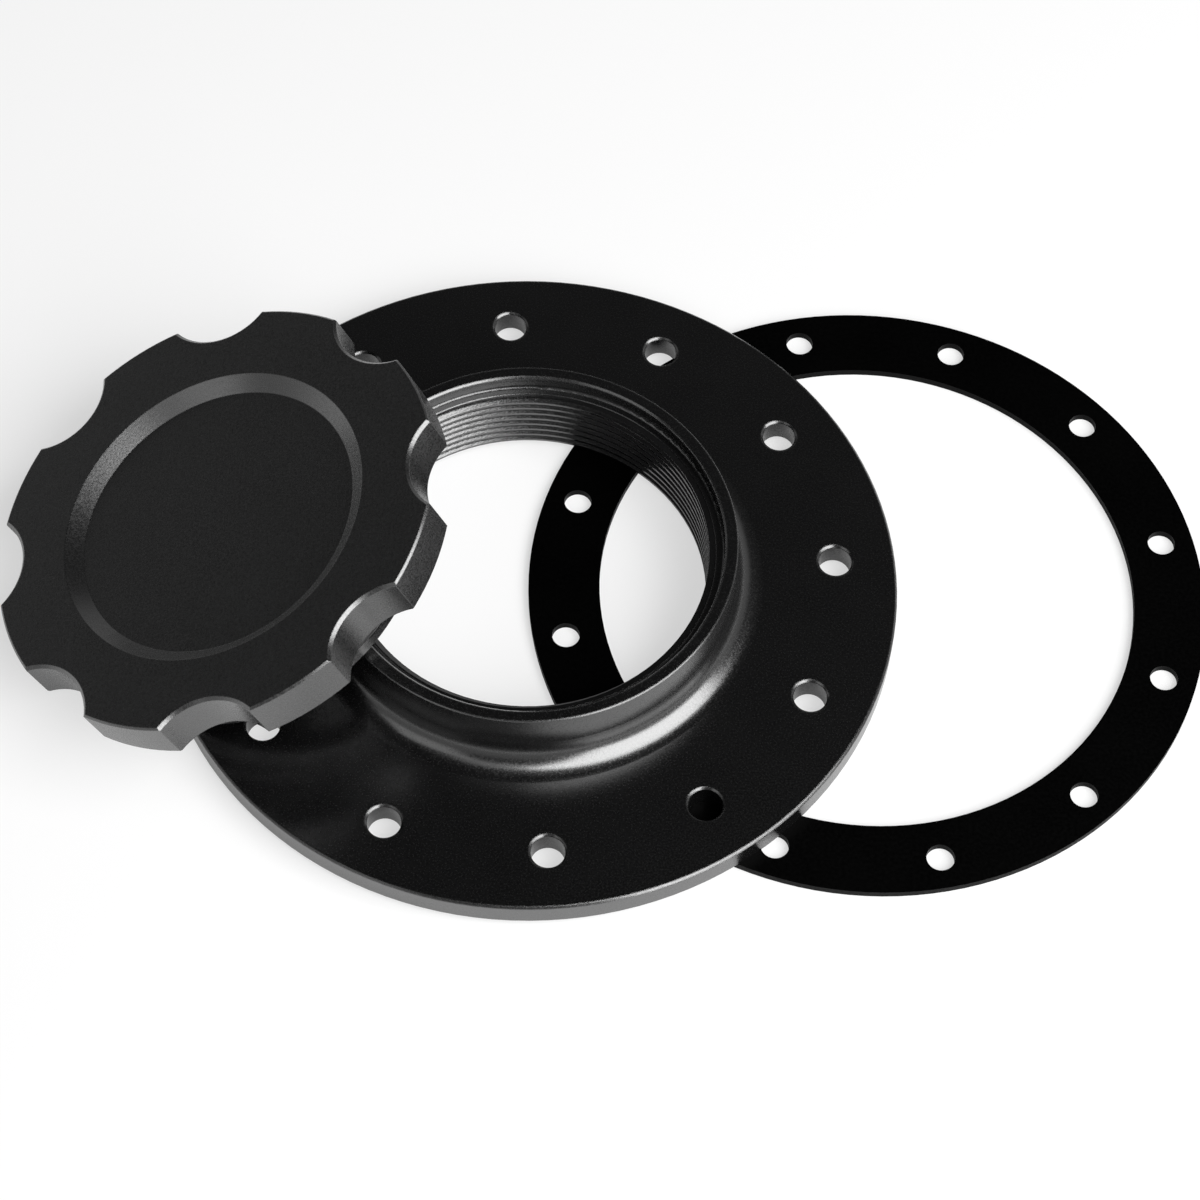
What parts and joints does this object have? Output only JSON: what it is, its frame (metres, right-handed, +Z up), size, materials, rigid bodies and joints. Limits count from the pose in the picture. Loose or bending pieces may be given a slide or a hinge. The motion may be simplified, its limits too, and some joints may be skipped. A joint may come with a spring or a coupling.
{
  "type": "screw-on filler cap with bolt-on flange",
  "caption": "Round bolt-on filler flange with a short threaded neck, a scalloped screw cap with its O-ring, and a flat gasket.",
  "frame": {"origin": "centre of the flange's bolt circle, on the flange's flat underside", "axes": "+Z up along the neck's axis; +X from the neck towards the loose gasket, -X towards the leaning cap; +Y away from the viewer"},
  "size_m": [0.2346, 0.1442, 0.0478],
  "materials": {
    "flange_metal": "satin black anodised",
    "cap_metal": "satin black anodised",
    "gasket_rubber": "matte",
    "o_ring_rubber": "satin"
  },
  "bodies": {
    "flange": {"flange": "flange_metal"},
    "gasket": {"gasket": "gasket_rubber"},
    "seal": {"cap_o_ring": "o_ring_rubber"},
    "cap": {"cap": "cap_metal"}
  },
  "joints": [
    {"name": "gasket_shift", "type": "hinge", "parent": "flange", "child": "gasket", "pos_m": [0.00589, 0.5623, -0.0008], "axis": [0, 0, -1], "range_deg": [0, 6.8]},
    {"name": "cap_place", "type": "hinge", "parent": "flange", "child": "seal", "pos_m": [0.08746, 0.00596, -0.10041], "axis": [-0.068, 0.9977, 0], "range_deg": [0, 22.14]},
    {"name": "cap_turn", "type": "hinge", "parent": "seal", "child": "cap", "pos_m": [-0.0563, -0.00384, 0.02116], "axis": [-0.376, -0.0256, 0.9263], "continuous": true}
  ]
}
